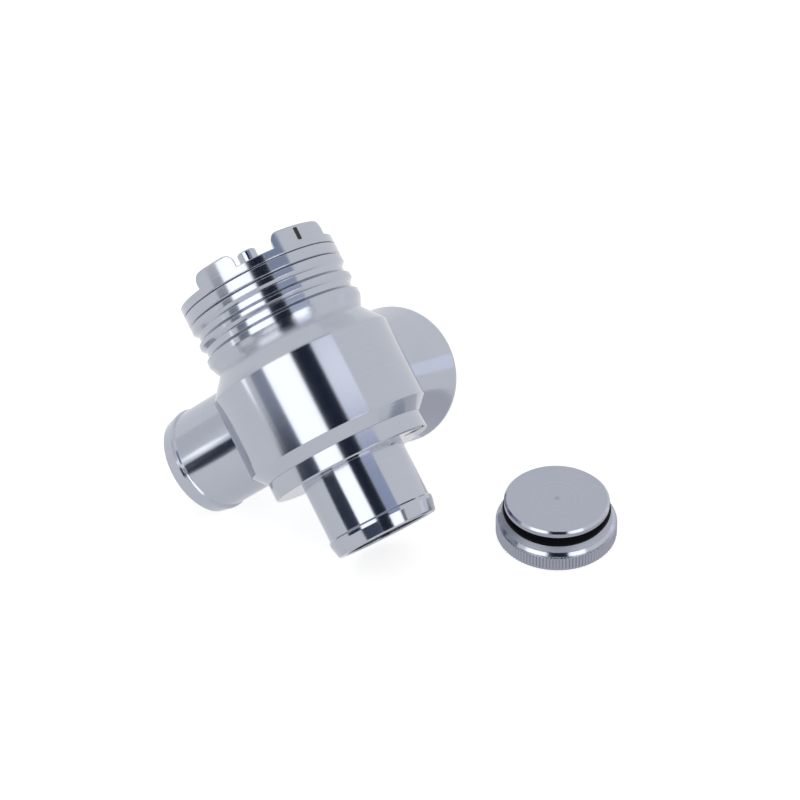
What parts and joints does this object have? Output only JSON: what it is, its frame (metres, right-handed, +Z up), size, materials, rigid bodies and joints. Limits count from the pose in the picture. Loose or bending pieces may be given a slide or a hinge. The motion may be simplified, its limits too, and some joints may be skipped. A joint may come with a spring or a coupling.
{
  "type": "blow off valve",
  "caption": "Turned aluminium piston blow-off valve with beaded hose stubs, a flared vent, a castellated spring crown and a knurled blanking cap lying beside it.",
  "frame": {"origin": "on the table, under the middle of the box round valve and cap", "axes": "+Z up from the table that the valve's three port rims and the cap's flange rest on; the picture looks along +Y with +X to the right"},
  "size_m": [0.1054, 0.0724, 0.0696],
  "materials": {
    "turned_aluminium": "fine-turned, bright satin",
    "anodised_aluminium": "hard anodised, satin",
    "seal_rubber": "matt",
    "screw_steel": "plain stainless",
    "spring_steel": "drawn wire",
    "shim_steel": "rolled strip",
    "washer_copper": "annealed copper"
  },
  "bodies": {
    "housing": {"valve_body": "turned_aluminium", "inlet_flange": "turned_aluminium", "flange_screw": "screw_steel", "inlet_seal": "seal_rubber", "outlet_tube": "turned_aluminium", "outlet_seal": "seal_rubber", "vent_trumpet": "turned_aluminium", "vent_seal": "seal_rubber", "valve_spring": "spring_steel", "blanking_cap": "turned_aluminium", "cap_seal": "seal_rubber"},
    "piston": {"piston": "anodised_aluminium", "piston_seal": "seal_rubber"},
    "spring_seat": {"spring_seat": "anodised_aluminium", "preload_shims": "shim_steel"},
    "crown": {"crown": "turned_aluminium", "crown_seal": "seal_rubber", "vacuum_nipple": "turned_aluminium", "nipple_washer": "washer_copper"},
    "lock_ring": {"lock_ring": "turned_aluminium"}
  },
  "joints": [
    {"name": "piston_lift", "type": "slide", "parent": "housing", "child": "piston", "axis": [-0.4354, 0.6219, 0.6509], "range_m": [0, 0.009], "stiffness_N_per_m": 900, "springref_m": -0.012, "deforming": ["valve_spring"]},
    {"name": "spring_seat_rise", "type": "slide", "parent": "housing", "child": "spring_seat", "axis": [-0.4354, 0.6219, 0.6509], "range_m": [0, 0.0015]},
    {"name": "crown_turn", "type": "hinge", "parent": "spring_seat", "child": "crown", "pos_m": [-0.02866, 0.01389, 0.05154], "axis": [-0.4354, 0.6219, 0.6509], "range_deg": [0, 360]},
    {"name": "lock_ring_turn", "type": "hinge", "parent": "housing", "child": "lock_ring", "pos_m": [-0.02861, 0.01382, 0.05147], "axis": [-0.4354, 0.6219, 0.6509], "range_deg": [0, 60]}
  ],
  "couplings": [
    {"joint": "crown_turn", "follows": "spring_seat_rise", "rad_per_m": 4188.8}
  ]
}
